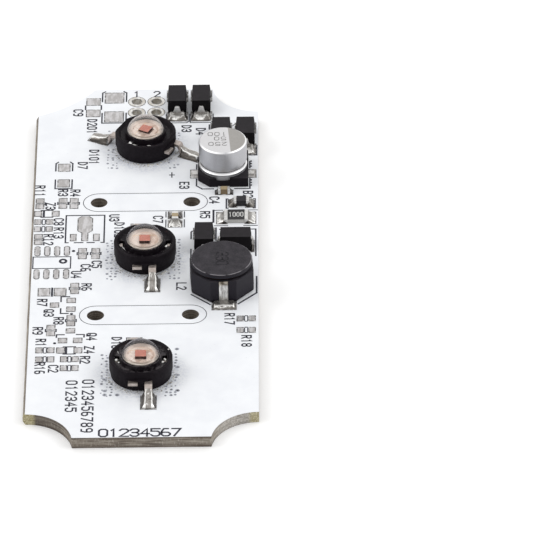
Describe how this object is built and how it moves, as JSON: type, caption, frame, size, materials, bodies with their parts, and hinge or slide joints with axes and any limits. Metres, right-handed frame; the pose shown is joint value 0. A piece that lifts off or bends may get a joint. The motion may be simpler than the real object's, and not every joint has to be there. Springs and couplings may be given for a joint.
{
  "type": "led circuit board",
  "caption": "Narrow white circuit board with notched corners that carries domed power LEDs in a row, screw holes beside them, and a driver with capacitor, inductor and diodes.",
  "frame": {"origin": "middle of the whole outline in X and Y, on the underside of the board", "axes": "+X across the board towards the side with the capacitor and inductor, +Y along the board towards the wire holes, +Z out of the side that carries the LEDs"},
  "size_m": [0.0296, 0.0782, 0.0069],
  "materials": {
    "glass_fibre_laminate": "sawn and routed glass-fibre laminate, brownish grey",
    "copper": "copper foil and enamelled copper wire",
    "white_solder_mask": "cool white, slightly glossy solder mask",
    "dark_print": "thin dark printed lines",
    "tin_plating": "dull tin finish on copper pads",
    "black_moulding": "black moulded plastic, satin outside and glossy in the bowl",
    "reflector_cup": "pinkish beige coated cup of the copper slug",
    "led_chip": "orange red light-emitting chip",
    "clear_silicone": "clear dome with a faint warm tint",
    "tinned_leads": "tinned copper, warm grey",
    "solder": "bright smooth solder",
    "capacitor_aluminium": "drawn aluminium with a satin side and a bright edge",
    "capacitor_base_plastic": "black moulded plastic",
    "bung_rubber": "black rubber",
    "foil_and_paper": "rolled foil and paper",
    "ferrite": "dark grey ferrite, ground on top",
    "diode_epoxy": "dark grey moulded epoxy",
    "resistor_ceramic": "black film on pale ceramic",
    "brown_ceramic": "brown ceramic"
  },
  "bodies": {
    "root": {"board_core": "glass_fibre_laminate", "top_copper": "copper", "bottom_copper": "copper", "top_mask": "white_solder_mask", "bottom_mask": "white_solder_mask", "silkscreen": "dark_print", "bare_pads": "tin_plating", "fitted_pads": "tin_plating", "wire_hole_barrels": "tin_plating", "near_led_body": "black_moulding", "near_led_slug": "reflector_cup", "near_led_chip": "led_chip", "near_led_lens": "clear_silicone", "near_led_leads": "tinned_leads", "middle_led_body": "black_moulding", "middle_led_slug": "reflector_cup", "middle_led_chip": "led_chip", "middle_led_lens": "clear_silicone", "middle_led_leads": "tinned_leads", "far_led_body": "black_moulding", "far_led_slug": "reflector_cup", "far_led_chip": "led_chip", "far_led_lens": "clear_silicone", "far_led_leads": "tinned_leads", "led_solder": "solder", "capacitor_can": "capacitor_aluminium", "capacitor_base": "capacitor_base_plastic", "capacitor_bung": "bung_rubber", "capacitor_winding": "foil_and_paper", "capacitor_terminals": "tinned_leads", "inductor_base": "capacitor_base_plastic", "inductor_shield": "ferrite", "inductor_drum": "ferrite", "inductor_winding": "copper", "inductor_terminals": "tinned_leads", "rectifier_bodies": "diode_epoxy", "rectifier_leads": "tinned_leads", "driver_diode_bodies": "diode_epoxy", "driver_diode_leads": "tinned_leads", "shunt_resistor_body": "resistor_ceramic", "shunt_resistor_ends": "tinned_leads", "ferrite_bead_body": "ferrite", "ferrite_bead_ends": "tinned_leads", "chip_capacitor_bodies": "brown_ceramic", "chip_capacitor_ends": "tinned_leads", "diode_solder": "solder", "chip_solder": "solder", "inductor_solder": "solder"}
  },
  "joints": []
}
